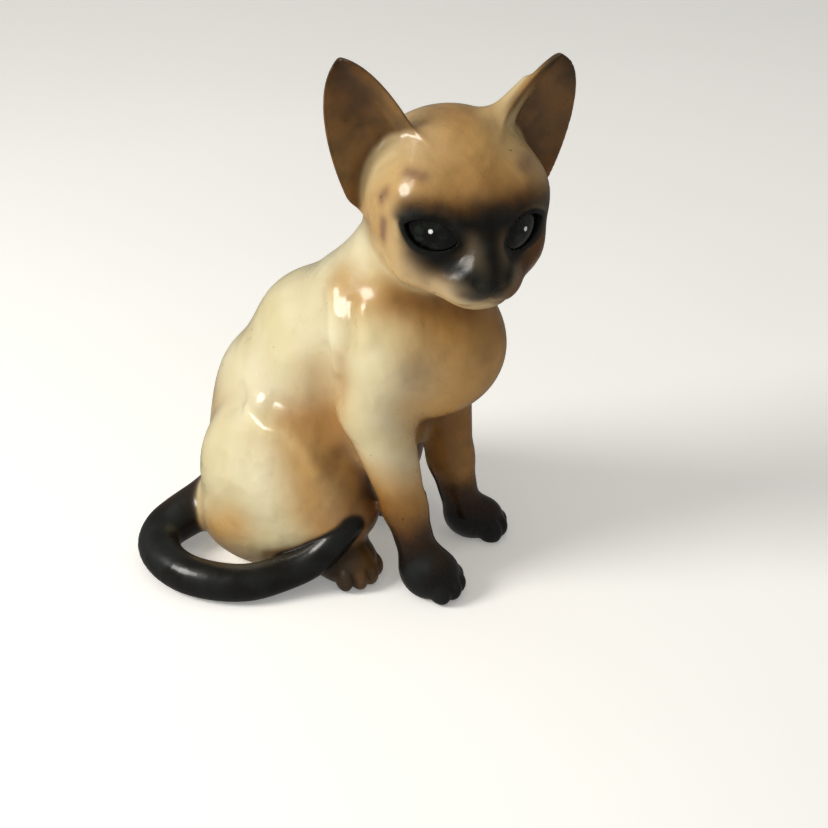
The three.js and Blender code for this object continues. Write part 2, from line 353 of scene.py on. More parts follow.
eye_ball = by_eye(egg((0, 0, 0), EYE_BALL), EYE_BALL_CENTRES)
eye_lids = by_eye(egg((0, 0, 0), EYE_LIDS), LID_CENTRES)
eye_gap = by_eye(eye_opening, LID_CENTRES)

skull = join(
    egg((0, 3, 4.6), (31, 31, 28.8)),
    (pair(egg((16.8, -12, 8), (11.8, 13.5, 12))), 8),
    (bone((13, 2, 27), (25, 3.4, 41.5), 4.6, 1.0), 6),
    (pair(egg((15.8, -10, -8), (10.8, 16.5, 13.5))), 10),
    (egg((0, -6, -15), (19, 19, 11)), 8),
    (bone((0, -20, 5), (0, -31, -9), 9, 7.2), 10),
    (pair(bone((15, -15, -9), (6, -26, -13.5), 11, 8.6)), 6),
    (egg((0, -25, -14), (12.5, 11.5, 9)), 8),
    (pair(egg((5, -29, -15.5), (7, 6.6, 6))), 4),
    (egg((0, -26.5, -20.5), (7.5, 7.5, 5)), 4),
    (egg((0, -35.4, -11.8), (5.2, 3.2, 3.2)), 3),
)
skull = press(skull, (pair(nearby((17, -31, -2), 20, egg((17, -33.2, -2), (8, 5, 6)))), 7))
skull = join(skull, (eye_lids, 3.0))

FACE_STROKES = [
    # mouth, from under the nose to the corner of the lips
    ([(0, -37.5, -15.8), (0, -36.8, -19.2)], 0.7, -0.8),
    ([(0, -36.8, -19.2), (4.5, -35.2, -21), (9, -31, -20.6), (13, -25, -18.2)], 0.8, -0.9),
    # nostril and its wing
    ([(2.0, -38.8, -13.9), (4.0, -37.6, -13.7), (5.2, -36.4, -12.2)], 0.9, -1.0),
]
face = tooled(skull, FACE_STROKES)


def head_clay(q):
    return blend_down(face(q), ear_mass(q), EAR_FILLET)


def eye_cut(value, q):
    """Opens the eyelids and leaves room for the ball behind them."""
    close = np.flatnonzero(lengths(mirrored(q) - np.float32(EYE_CENTRES[-1])) < 22)
    if close.size:
        near_eye = q[close]
        opened = -blend_down(-value[close], eye_gap(near_eye), 0.5)
        value[close] = np.maximum(opened, 0.08 - eye_ball(near_eye))
    return value


# ---------------------------------------------------------------- body

trunk = join(
    egg((0, 21, 32), (36, 35, 38)),
    (egg((0, 11, 57), (32, 42, 36)), 10),
    (egg((0, -3, 86.5), (27, 38, 29)), 10),
    (egg((0, -26, 94), (29, 38, 31)), 10),
    (bone((0, -22, 108), (0, -34, 138), 26, 19.5), 12),
    (pair(egg((20, -28, 97), (12, 18, 20), (10, 0, 0))), 8),
    (pair(egg((25, 14, 34.5), (19.5, 34, 37), (8, 0, 0))), 4),
    (pair(egg((23, 22, 16.5), (22.5, 27, 17.5))), 6),
    (egg((-23, -11, 28), (12.5, 14, 13)), 6),
    (pair(bone((24, -32, 94), (25.5, -22.5, 74), 12, 7.5)), 5),
)


def toes(centre, spread, forward, turn):
    """Four toes at the front of a paw, fanned about the paw's own frame."""
    matrix = rotation(0, 0, turn)
    parts = []
    for offset, reach in ((-1.45, 0.72), (-0.5, 1.0), (0.5, 1.0), (1.45, 0.72)):
        place = np.float32(centre) + matrix @ np.float32((offset * spread, -forward * reach, -3.2))
        parts.append((egg(place, (3.2, 4.8, 5.4), (0, 0, turn + offset * 9)), 1.0))
    return parts


# Shoulder, wrist, ankle and the radii there; middle, radii and outward turn of the paw.
FORELEGS = {
    1: ((22, -27.5, 74), (20.4, -34.8, 34), (19.8, -40.4, 13), (13.4, 8.6, 7.0),
        (22.8, -44.4, 7.8), (8.8, 11.2, 8.8), 28),
    -1: ((-22.5, -25.5, 74), (-20.5, -36.2, 34), (-20.2, -42.2, 13), (12.8, 7.7, 7.0),
         (-21.2, -47.0, 8.8), (9.6, 11.4, 10.2), 6),
}
# Heel, middle of the foot and its turn.
HIND_FEET = {
    1: ((23.5, 12, 8.5), (23.5, -6.5, 7.8), 20),
    -1: ((-26, 8, 8.5), (-25.8, -13.4, 8.8), -20),
}


def foreleg(side):
    """Leg and paw; the left leg stands further forward, with its paw turned outwards."""
    shoulder, wrist, ankle, girths, paw, size, turn = FORELEGS[side]
    return join(
        bone(shoulder, wrist, girths[0], girths[1]),
        (bone(wrist, ankle, girths[1], girths[2]), 4),
        (egg(paw, size, (0, 0, turn)), 5),
        *toes(paw, 4.2, size[1] - 3.0, turn),
    )


def hind_foot(side):
    heel, foot, turn = HIND_FEET[side]
    return join(
        bone(heel, (heel[0], foot[1] + 2, 8.5), 9, 8),
        (egg(foot, (10.8, 13.5, 9.8), (0, 0, turn)), 5),
        *toes(foot, 4.8, 10, turn),
    )


def tail_line(steps):
    """Stations of the tail on a smooth curve through the given ones."""
    knots = np.array(TAIL, float)
    knots = np.vstack([2 * knots[0] - knots[1], knots, 2 * knots[-1] - knots[-2]])
    stations = []
    for a, b, c, d in zip(knots[:-3], knots[1:-2], knots[2:-1], knots[3:]):
        for t in np.arange(steps) / steps:
            stations.append(0.5 * (2 * b + (c - a) * t + (2 * a - 5 * b + 4 * c - d) * t ** 2
                                   + (3 * b - a - 3 * c + d) * t ** 3))
    return stations + [knots[-2]]


def tail_mass():
    stations = tail_line(4)
    rods = []
    for a, b in zip(stations[:-1], stations[1:]):
        reach = 12 + np.linalg.norm(b[:3] - a[:3]) + max(a[3], b[3])
        middle = (a[:3] + b[:3]) / 2
        rods.append(nearby(middle, reach, bone(a[:3], b[:3], a[3], b[3])))

    def mass(p):
        value = np.full(len(p), FAR, np.float32)
        for rod in rods:
            value = np.minimum(value, rod(p))
        return value

    return mass


tail = tail_mass()
forelegs = {side: foreleg(side) for side in (1, -1)}
hind_feet = {side: hind_foot(side) for side in (1, -1)}
any_foreleg = join(forelegs[1], (forelegs[-1], 0.1))
any_hind_foot = join(hind_feet[1], (hind_feet[-1], 0.1))

BODY_STROKES = [
    # front edge of the thigh, and the hollow above it
    ([(32, 23, 66), (36.7, 12.4, 62.5), (35.6, 3.8, 62), (36, -4.2, 56.4), (36.4, -8.4, 50)],
     2.6, 1.0),
    ([(29, 12, 69), (29, 3, 68), (30, -7, 62), (31, -13, 54)], 4.5, -1.4),
    # hip
    ([(31.2, 29.5, 63.4)], 4.0, -0.9),
    ([(27, 30, 73), (30.5, 26, 69), (31.5, 23.5, 64)], 1.7, -0.6),
    # shoulder blade and the folds of the neck
    ([(27.2, 9.8, 86.6)], 7.0, 1.2),
    ([(23, -3, 110)], 5.0, -1.1),
    ([(22, -8, 117), (27, -12, 109), (30, -13.5, 101), (30, -14, 92)], 3.2, 0.9),
    ([(26, -18, 116), (29, -21, 108), (31, -21, 102)], 2.6, -0.9),
    ([(27, -24, 115), (31, -27, 107)], 3.5, 0.8),
    # behind the upper arm and elbow
    ([(29, -9, 96), (29, -8, 88), (28, -6.5, 76), (28, -8, 64)], 4.5, -1.5),
]
trunk = tooled(trunk, BODY_STROKES)
vent = bone((*VENT, -5), (*VENT, 24), VENT_RADIUS, VENT_RADIUS)


def tail_fillet(p):
    """The tail grows out of the rump and only touches the thigh further on."""
    return np.clip((p[:, 1] - 20) / 15, 0, 1) * 4 + 0.8


LIMB_JOINTS = (                  # limb, the height that it stays under, its fillet
    (any_foreleg, 100, 7),
    (any_hind_foot, 40, 5),
)
BODY_TOP, HEAD_FOOT = 142, 92    # the body stays under the first, the head over the second
SEAT_EDGE, VENT_EDGE = 1.2, 0.8


def body_clay(p):
    value = trunk(p)
    for limb, top, fillet in LIMB_JOINTS:
        low = np.flatnonzero(p[:, 2] < top)
        value[low] = blend_down(value[low], limb(p[low]), fillet)
    return blend_down(value, tail(p), tail_fillet(p))


def clay(p):
    """The whole figurine."""
    p = np.asarray(p, np.float32)
    value = np.full(len(p), FAR, np.float32)
    low = np.flatnonzero(p[:, 2] < BODY_TOP)
    high = np.flatnonzero(p[:, 2] > HEAD_FOOT)
    if low.size:
        value[low] = body_clay(p[low])
    if high.size:
        q = in_head(p[high])
        body = value[high]
        body = np.where(body == FAR, trunk(p[high]), body)
        value[high] = eye_cut(blend_down(body, head_clay(q), NECK_FILLET), q)
    seated = -blend_down(-value, p[:, 2], SEAT_EDGE)
    return -blend_down(-seated, vent(p), VENT_EDGE)


# ---------------------------------------------------------------- meshes

COARSE = 4                       # voxels to a cell of the first, rough look at the field
BATCH = 200_000                  # points worked out at a time


def tessellate(low, high, voxel):
    """Points and triangles of the figurine's surface inside a box."""
    voxel *= VOXEL_SCALE
    low = np.float32(low)
    cells = np.ceil((np.float32(high) - low) / (voxel * COARSE)).astype(int)
    grid = np.indices(cells).reshape(3, -1).T
    middle = low + (grid + 0.5) * voxel * COARSE - voxel / 2
    rough = clay(middle.astype(np.float32)).reshape(cells)
    field = rough.repeat(COARSE, 0).repeat(COARSE, 1).repeat(COARSE, 2)
    near_surface = np.abs(field) < 1.4 * COARSE * voxel + 1.5
    chosen = np.argwhere(near_surface)
    values = np.empty(len(chosen), np.float32)
    for start in range(0, len(chosen), BATCH):
        part = chosen[start:start + BATCH]
        values[start:start + BATCH] = clay((low + part * voxel).astype(np.float32))
    field[tuple(chosen.T)] = values
    volume = openvdb.FloatGrid(float(FAR))
    volume.copyFromArray(np.ascontiguousarray(field, np.float32))
    points, quads = volume.convertToQuads(isovalue=0.0)
    points = (points * voxel + low).astype(np.float32)
    for _ in range(2):
        points = drawn_to(clay, points, 0.8 * voxel)
    quads = quads.astype(np.int64)
    return points, np.vstack([quads[:, [0, 1, 2]], quads[:, [0, 2, 3]]])


def compact(points, triangles):
    used, numbers = np.unique(triangles, return_inverse=True)
    return points[used], numbers.reshape(-1, 3)


def divide(mesh, seam):
    """Cuts a mesh where the seam field changes sign; returns the negative and positive sides."""
    points, triangles = mesh
    value = seam(points)
    value = np.where(np.abs(value) < 1e-3, 1e-3, value)
    negative = value < 0
    count = negative[triangles].sum(1)
    sides = [triangles[count == 3], triangles[count == 0]]
    mixed = triangles[(count == 1) | (count == 2)]
    lone_sign = count[(count == 1) | (count == 2)] == 1
    lone = np.argmax(negative[mixed] == lone_sign[:, None], axis=1)
    order = (lone[:, None] + np.arange(3)) % 3
    a, b, c = np.take_along_axis(mixed, order, 1).T
    edges = np.sort(np.concatenate([np.stack([a, b], 1), np.stack([a, c], 1)]), axis=1)
    unique, numbers = np.unique(edges, axis=0, return_inverse=True)
    start, end = unique.T
    share = value[start] / (value[start] - value[end])
    crossing = points[start] + share[:, None] * (points[end] - points[start])
    for _ in range(3):
        crossing = drawn_to(seam, drawn_to(clay, crossing, 0.3), 0.3)
    numbers = numbers.reshape(-1) + len(points)
    ab, ac = numbers[:len(a)], numbers[len(a):]
    tips = np.stack([a, ab, ac], 1)
    rests = np.vstack([np.stack([ab, b, c], 1), np.stack([ab, c, ac], 1)])
    lone_twice = np.tile(lone_sign, 2)
    points = np.vstack([points, crossing])
    negative_side = np.vstack([sides[0], tips[lone_sign], rests[~lone_twice]])
    positive_side = np.vstack([sides[1], tips[~lone_sign], rests[lone_twice]])
    return compact(points, negative_side), compact(points, positive_side)


def capped(mesh):
    """Closes each opening of a mesh with a flat web of triangles across its rim."""
    points, triangles = mesh
    edges = np.concatenate([triangles[:, [0, 1]], triangles[:, [1, 2]], triangles[:, [2, 0]]])
    size = len(points)
    forward = edges[:, 0] * size + edges[:, 1]
    backward = edges[:, 1] * size + edges[:, 0]
    following = {}
    for start, end in edges[~np.isin(forward, backward)].tolist():
        following.setdefault(start, []).append(end)
    webs = [triangles]
    while following:
        first = here = next(iter(following))
        loop = []
        while here in following:
            loop.append(here)
            ends = following[here]
            step = ends.pop()
            if not ends:
                del following[here]
            here = step
            if here == first:
                break
        loop = np.array(loop)
        rim = points[loop].astype(float)
        rim -= rim.mean(0)
        facing = np.cross(rim, np.roll(rim, -1, axis=0)).sum(0)
        sideways = unit(np.cross(facing, (0.3, 0.5, 0.8)))
        flat = np.stack([rim @ sideways, rim @ unit(np.cross(facing, sideways)), 0 * rim[:, 0]], 1)
        web = np.array(tessellate_polygon([[Vector(corner) for corner in flat]]))
        around = np.cross(flat[web[:, 1]] - flat[web[:, 0]], flat[web[:, 2]] - flat[web[:, 0]])
        web = np.where(around[:, 2:] > 0, web[:, ::-1], web)
        webs.append(loop[web])
    return points, np.vstack(webs)


# ---------------------------------------------------------------- paint

# the crease colour, airbrushed tan with painted shade, goes where the clay closes in over the
# surface
CREASE_REACH = 2.5               # how far off the surface the clay is felt for a crease
CREASE_ONSET = 1.15              # a crease shows where the clay is nearer than this share of it


def smooth(value, low, high):
    """Soft step, from 0 at the low value to 1 at the high one."""
    share = np.clip((value - low) / (high - low), 0, 1)
    return share * share * (3 - 2 * share)


def sprayed(p, strokes):
    """Paint left by brushes given as (path, width, strength)."""
    bare_share = np.ones(len(p), np.float32)
    for path, width, strength in strokes:
        bare_share *= 1 - strength * brush(p, path, width)
    return 1 - bare_share


FACE_SOOT = laid_on(skull, [
    # round the eye, over it and under it
    ([(9.6, -28.5, 1.5), (13, -27, 6.5), (17, -24.5, 8.5), (22, -21, 8.5), (25, -19, 6)],
     3.6, 1.0),
    ([(9.6, -28.5, -1.5), (14, -26, -4), (19, -23, -3.5), (24, -20, 2)], 3.8, 1.0),
    # between the eyes and down to the nose
    ([(0, -30, 5), (9, -28.5, 6)], 5.0, 1.0),
    ([(0, -29, 4), (0, -34, -6), (0, -38, -13)], 9.5, 1.0),
    ([(4, -34, -11.5), (9, -30, -9.5), (15, -26, -6.5)], 6.2, 1.0),
])
FACE_SEAL = laid_on(skull, [
    ([(0, -28, 9), (10, -27, 9.5), (19, -22.5, 11), (23, -19.5, 10)], 5.0, 0.85),
    ([(8, -30, -9), (15, -26, -9), (21, -22, -5)], 5.8, 0.75),
    ([(0, -36, -17), (7, -32, -16)], 4.0, 0.9),
])
# painted shade on the cat's left cheek, the side turned from the light; these strokes are not
# mirrored
FAR_CHEEK_SHADE = laid_on(skull, [
    ([(24, -20, -1), (20, -23, -8), (14, -28, -13), (8, -33, -17)], 7.0, 0.95),
    ([(25, -18, 10), (28, -14, 2), (25, -17, -8)], 5.0, 0.8),
])
FACE_TAN = [
    ([(0, -28, 14), (0, -20, 26), (0, 2, 33)], 26.0, 0.88),
    ([(14, -24, 14), (26, -14, 12), (31, -6, 0)], 14.0, 0.75),
    ([(20, -20, -14), (28, -8, -12)], 14.0, 0.6),
    ([(8, -28, -20), (0, -30, -24)], 8.0, 0.6),
]
CHIN_CLEAR = laid_on(skull, [
    ([(15, -28, -16), (8, -33, -19.3), (0, -35.5, -22.5)], 3.8, 0.95),
    # painted highlight: the dark paint is cleared at the outer corner of the eye, for a pale patch
    ([(27, -17.5, 3.5), (26, -17.5, 0.5)], 2.2, 0.75),
])
# painted reflections: pale mauve patches on the temple and the cheek
MAUVE_REFLECTIONS = laid_on(skull, [
    ([(20, -19, 20), (23.5, -15, 20.5)], 3.0, 0.7),
    ([(31.5, -12, 13), (32, -10, 9.5)], 2.6, 0.65),
    ([(31.5, -13, 2), (31, -11.5, -4)], 2.4, 0.7),
])
# painted shade in the seal colour: under the jaw, down the chest, on the front of the thigh,
# between foreleg and knee, and under the chest between the forelegs
BODY_SHADE = [
    ([(23, -36, 119), (14, -56, 117), (0, -64, 116)], 6.0, 0.6),
    ([(6, -61, 100), (6, -59, 80)], 11.0, 0.22),
    ([(32, -12, 54), (33, -18, 42), (31, -23, 28), (28, -23, 16)], 8.0, 0.55),
    ([(25, -24, 38), (23, -25, 24)], 6.0, 0.9),
    ([(11, -34, 68), (10, -30, 56)], 6.0, 0.55),
    ([(0, -44, 68), (8, -32, 62), (0, -22, 48)], 12.0, 0.5),
]
# the tan airbrushed on the body, which also carries painted shade on the chest, the neck under the
# head, the thigh's front and the sides turned from the light
BODY_TAN_AND_SHADE = [
    ([(0, -64, 118), (0, -66, 96), (0, -50, 66)], 24.0, 0.95),
    ([(0, -46, 68), (0, -28, 60), (0, -24, 40)], 16.0, 0.8),
    ([(17, -50, 113), (15, -55, 93), (13, -50, 75)], 15.0, 0.9),
    ([(31, 4, 62), (38, -6, 50), (40, -8, 36), (36, -14, 22)], 11.0, 0.85),
    ([(28, -6, 84), (28, -6, 70)], 11.0, 0.5),
    ([(27, -45, 102), (29, -42, 92), (25, -42, 80)], 8.0, 0.35),
    ([(11, -35, 72), (10, -30, 58)], 7.0, 0.85),
    ([(28, -9, 66), (31, -16, 50), (31, -22, 32), (30, -22, 14)], 11.0, 0.9),
    ([(44, 24, 22), (42, 32, 18)], 10.0, 0.85),
    ([(36, 40, 10), (40, 20, 6)], 9.0, 0.75),
    ([(20, 44, 58)], 12.0, 0.4),
    ([(24, -34, 121), (12, -56, 118)], 10.0, 0.95),
    ([(22, -10, 122), (26, -22, 118)], 8.0, 0.7),
    ([(30, -17, 96), (32, -18, 76)], 5.0, 0.5),
    ([(13, -36, 68), (12, -41, 52), (14, -43, 36)], 5.0, 0.7),
]


def face_paint(q, on_head):
    """Shares of tan, seal and soot on the head, the far cheek's painted shade among them, and of
    the painted mauve reflections.

    The strokes are placed for the right eye; the left one stands nearer the nose, and its
    surroundings are moved with it.
    """
    face_point = mirrored(q)
    # 1 round an eye, 0 on the middle line and far out on the cheek
    beside = smooth(face_point[:, 0], 2, 12) * smooth(-face_point[:, 0], -32, -20)
    eye_shift = EYE_CENTRES[-1][0] - EYE_CENTRES[1][0]
    face_point[:, 0] += beside * np.where(q[:, 0] > 0, eye_shift, 0)
    uncovered = 1 - sprayed(face_point, CHIN_CLEAR)
    # painted shade on the far cheek, laid over both the tan and the seal
    far_cheek_shade = sprayed(q, FAR_CHEEK_SHADE) * on_head
    tan = np.maximum(sprayed(face_point, FACE_TAN) * on_head, far_cheek_shade)
    seal = np.maximum(sprayed(face_point, FACE_SEAL) * uncovered, far_cheek_shade)
    eye_rim = smooth(-eye_gap(q), -3.4, -1.6) * on_head * smooth(-q[:, 1], 12, 15)
    soot = np.maximum(sprayed(face_point, FACE_SOOT) * uncovered, eye_rim)
    # the last share is the painted mauve reflections
    return tan, seal, soot, sprayed(face_point, MAUVE_REFLECTIONS)


def ear_paint(q, normal):
    """Shares of tan, seal and soot on the ears: dark inside the cup and at the tips."""
    leaf, _, ear_height = ear_place(q)
    ear = ear_mass(q)
    share = smooth(skull(q) - ear, -1.5, 2.5) * smooth(-ear, -3, -1)
    share = share * smooth(leaf[:, 1], -14, -4)
    beyond = ear_place(q + normal @ HEAD_MATRIX)[0]
    front = smooth((beyond - leaf)[:, 2], -0.35, 0.25)
    height = np.clip(leaf[:, 1] / ear_height, 0, 1)
    inner_edge = smooth(-leaf[:, 0], 2, 12)
    inside = np.clip(front * (0.84 - 0.4 * inner_edge * (1 - height)), 0, 1)
    seal = share * np.maximum(inside, 0.8 * smooth(height, 0.55, 1.0))
    return 0.8 * share, seal, 0.6 * share * smooth(height, 0.75, 1.0)


def foreleg_paint(p):
    """Shares of tan, seal and soot on the forelegs, which fade upwards; the left leg is darker,
    with painted shade.
    """
    left = p[:, 0] > 0
    share = smooth(-any_foreleg(p), -2.5, 0) * smooth(-p[:, 2], -80, -54)
    # painted shade on the left leg: its tan reaches much higher, and a thin seal lies over the tan
    level = p[:, 2] - 0.25 * (p[:, 1] + 40) + np.where(left, 3, -1)
    lift = np.where(left, 26, 0)
    tan = share * (1 - smooth(level, 36 + lift, 70 + lift))
    far_leg_shade = np.where(left, 0.45, 0) * (1 - smooth(level, 50, 80))
    seal = share * np.maximum(1 - smooth(level, 20, 50), far_leg_shade)
    return tan, seal, share * (1 - smooth(level, 14, 38))


def hind_foot_paint(p):
    """Shares of tan, seal and soot on the hind feet; the right one has paler toes."""
    left = p[:, 0] > 0
    share = smooth(-any_hind_foot(p), -4.5, 0)
    right_soot = 0.88 - 0.3 * smooth(-p[:, 1], 18, 27)
    return share, share * np.where(left, 1, 0.6), share * np.where(left, 0.95, right_soot)


def tail_paint(p):
    """Shares of tan, seal and soot on the tail, browner at its root."""
    share = smooth(-tail(p), -1.6, 0)
    root = smooth(p[:, 1], 30, 52) * smooth(p[:, 0], -46, -20)
    return 0 * share, share, share * (1 - 0.45 * root)


def paint(p, normal):
    """Shares of each glaze colour, of bare clay and of the crease colour (airbrushed tan with
    painted shade) on points of the surface.
    """
    q = in_head(p)
    on_head = smooth(skull(q) - trunk(p), 3, -3)
    *face, mauve_reflection = face_paint(q, on_head)
    # airbrushed tan on the body, with painted shade in it
    trunk_tan_and_shade = sprayed(mirrored(p), BODY_TAN_AND_SHADE) * (1 - 0.8 * on_head)
    # painted shade on the body, in the seal colour
    trunk_shade = sprayed(mirrored(p), BODY_SHADE) * (1 - on_head)
    layers = [face, (trunk_tan_and_shade, trunk_shade, 0 * on_head), ear_paint(q, normal), foreleg_paint(p),
              hind_foot_paint(p), tail_paint(p)]
    tan, seal, soot = np.max(layers, axis=0)
    bare = smooth(-normal[:, 2], 0.9, 0.98) * smooth(-p[:, 2], -0.5, -0.2)
    bare = np.maximum(bare, smooth(-vent(p), -0.9, -0.3))
    # painted shade, with the airbrushed tan, in the creases where the clay closes in
    openness = clay(p + CREASE_REACH * normal) / CREASE_REACH
    return {"tan": tan, "seal": seal, "soot": soot, "mauve_reflection": mauve_reflection, "bare": bare,
            "crease_tan_and_shade": np.clip(CREASE_ONSET - openness, 0, 1)}


# ---------------------------------------------------------------- materials

def linear(red, green, blue):
    """Scene-linear colour of the usual 0-255 values."""
    channels = [channel / 255 for channel in (red, green, blue)]
    return [c / 12.92 if c <= 0.04045 else ((c + 0.055) / 1.055) ** 2.4 for c in channels] + [1.0]


CREAM, CREAM_PALE = linear(222, 212, 168), linear(235, 229, 196)
TAN, TAN_DEEP = linear(194, 147, 78), linear(169, 120, 53)
SEAL, SEAL_DEEP = linear(98, 58, 20), linear(64, 36, 10)
SOOT, SOOT_BLUE = linear(23, 21, 18), linear(28, 32, 31)
# colour of the painted reflections on the temples and cheeks
REFLECTION_MAUVE = linear(112, 78, 66)
BISQUE, BISQUE_STAIN = linear(226, 216, 200), linear(196, 180, 158)
PINHOLE = linear(52, 38, 26)
# crease colour: the airbrushed tan of the creases, darkened as painted shade
CREASE_TAN_AND_SHADE = linear(150, 104, 56)
BROAD, WAVES, MIDDLING, FINE = 28, 60, 110, 520          # scales of the noises, per metre
PINHOLE_CELLS = 210.0            # per metre; a few of them hold a pinhole
GLAZE_RELIEF = 0.003             # metres
PUPIL_EDGE, IRIS_EDGE = (2.0, 3.2), (6.2, 4.8)          # soft edges, mm from the eye's middle
CATCHLIGHT, CATCHLIGHT_EDGE = (-0.4, 0.0, 1.6), (0.95, 0.6)


class Nodes:
    """A material's node tree, with short calls to add nodes."""

    def __init__(self, name):
        self.material = bpy.data.materials.new(f"{name}_finish")
        self.material.use_nodes = True
        self.tree = self.material.node_tree
        self.shader = self.tree.nodes["Principled BSDF"]
        self.position = self.add("ShaderNodeTexCoord").outputs["Object"]

    def add(self, kind, inputs=None, **settings):
        node = self.tree.nodes.new(kind)
        for key, value in settings.items():
            setattr(node, key, value)
        for key, value in (inputs or {}).items():
            if isinstance(value, bpy.types.NodeSocket):
                self.tree.links.new(value, node.inputs[key])
            else:
                node.inputs[key].default_value = value
        return node

    def attribute(self, name):
        return self.add("ShaderNodeAttribute", attribute_name=name).outputs["Fac"]

    def noise(self, scale, detail=3.0, roughness=0.5, distortion=0.0):
        return self.add("ShaderNodeTexNoise", {
            "Vector": self.position, "Scale": scale, "Detail": detail,
            "Roughness": roughness, "Distortion": distortion}).outputs["Fac"]

    def math(self, operation, a, b=0.0, clamp=False):
        return self.add("ShaderNodeMath", {0: a, 1: b}, operation=operation,
                        use_clamp=clamp).outputs[0]

    def ramp(self, value, low, high, to_low=0.0, to_high=1.0):
        return self.add("ShaderNodeMapRange", {
            "Value": value, "From Min": low, "From Max": high, "To Min": to_low,
            "To Max": to_high}, interpolation_type="SMOOTHSTEP").outputs[0]

    def mix(self, share, a, b):
        node = self.add("ShaderNodeMix", data_type="RGBA")
        for key, value in (("Factor", share), ("A", a), ("B", b)):
            socket = next(s for s in node.inputs if s.name == key and s.enabled)
            if isinstance(value, bpy.types.NodeSocket):
                self.tree.links.new(value, socket)
            else:
                socket.default_value = value
        return next(s for s in node.outputs if s.enabled)


def broken(nodes, share, noise, amount):
    """A paint share whose soft edge is broken up a little by noise."""
    wobble = nodes.math("MULTIPLY", nodes.math("SUBTRACT", noise, 0.5), amount)
    edge = nodes.math("MULTIPLY", share, nodes.math("SUBTRACT", 1.0, share))
    moved = nodes.math("MULTIPLY", nodes.math("MULTIPLY", wobble, 4.0), edge)
    return nodes.math("ADD", share, moved, clamp=True)


def glaze(name, roughness, waviness, gloss, dulling=0.4):
    """Airbrushed earthenware under a gloss coat that the darkest paint dulls; bare clay below."""
    nodes = Nodes(name)
    broad, middling = nodes.noise(BROAD, 3), nodes.noise(MIDDLING, 4)
    fine = nodes.noise(FINE, 3, 0.6)
    cream = nodes.mix(nodes.ramp(broad, 0.35, 0.68), CREAM, CREAM_PALE)
    tan = nodes.mix(nodes.ramp(broad, 0.35, 0.65), TAN, TAN_DEEP)
    seal = nodes.mix(nodes.ramp(middling, 0.35, 0.65), SEAL, SEAL_DEEP)
    soot = nodes.mix(nodes.ramp(middling, 0.4, 0.7), SOOT, SOOT_BLUE)
    colour = nodes.mix(broken(nodes, nodes.attribute("tan"), broad, 0.4), cream, tan)
    # painted shade in the creases, over the airbrushed tan there
    crease_tan_and_shade = nodes.math("MULTIPLY", nodes.attribute("crease_tan_and_shade"), 0.75)
    colour = nodes.mix(crease_tan_and_shade, colour, CREASE_TAN_AND_SHADE)
    # painted reflections in pale mauve on the temples and cheeks
    colour = nodes.mix(broken(nodes, nodes.attribute("mauve_reflection"), middling, 0.6), colour, REFLECTION_MAUVE)
    colour = nodes.mix(broken(nodes, nodes.attribute("seal"), middling, 0.25), colour, seal)
    colour = nodes.mix(broken(nodes, nodes.attribute("soot"), middling, 0.25), colour, soot)
    cells = nodes.add("ShaderNodeTexVoronoi", {"Vector": nodes.position, "Scale": PINHOLE_CELLS})
    rare = nodes.ramp(nodes.add("ShaderNodeSeparateColor", {0: cells.outputs["Color"]}).outputs[0],
                      0.93, 0.95)
    dot = nodes.ramp(cells.outputs["Distance"], 0.10, 0.05)
    pinhole = nodes.math("MULTIPLY", rare, dot)
    colour = nodes.mix(nodes.math("MULTIPLY", pinhole, 0.8), colour, PINHOLE)
    bisque = nodes.mix(nodes.ramp(middling, 0.4, 0.65), BISQUE, BISQUE_STAIN)
    bare = nodes.attribute("bare")
    colour = nodes.mix(bare, colour, bisque)
    sheen = nodes.ramp(middling, 0.3, 0.7, roughness * 0.8, roughness * 1.3)
    rough = nodes.add("ShaderNodeMix", {0: bare, 2: sheen, 3: 0.85}, data_type="FLOAT").outputs[0]
    wave = nodes.math("ADD", nodes.noise(WAVES, 2), nodes.math("MULTIPLY", fine, 0.05))
    wave = nodes.math("SUBTRACT", wave, nodes.math("MULTIPLY", pinhole, 0.3))
    bump = nodes.add("ShaderNodeBump", {
        "Height": wave, "Strength": waviness, "Distance": GLAZE_RELIEF})
    shader = nodes.shader
    nodes.tree.links.new(colour, shader.inputs["Base Color"])
    nodes.tree.links.new(rough, shader.inputs["Roughness"])
    nodes.tree.links.new(bump.outputs[0], shader.inputs["Normal"])
    satin = nodes.math("MULTIPLY", nodes.attribute("soot"), -dulling)
    coat = nodes.math("MULTIPLY", nodes.math("SUBTRACT", 1.0, bare), gloss)
    coat = nodes.math("MULTIPLY", coat, nodes.math("ADD", satin, 1.0))
    nodes.tree.links.new(coat, shader.inputs["Coat Weight"])
    shader.inputs["Coat Roughness"].default_value = 0.17
    shader.inputs["Coat IOR"].default_value = 1.5
    shader.inputs["Specular IOR Level"].default_value = 0.25
    return nodes.material


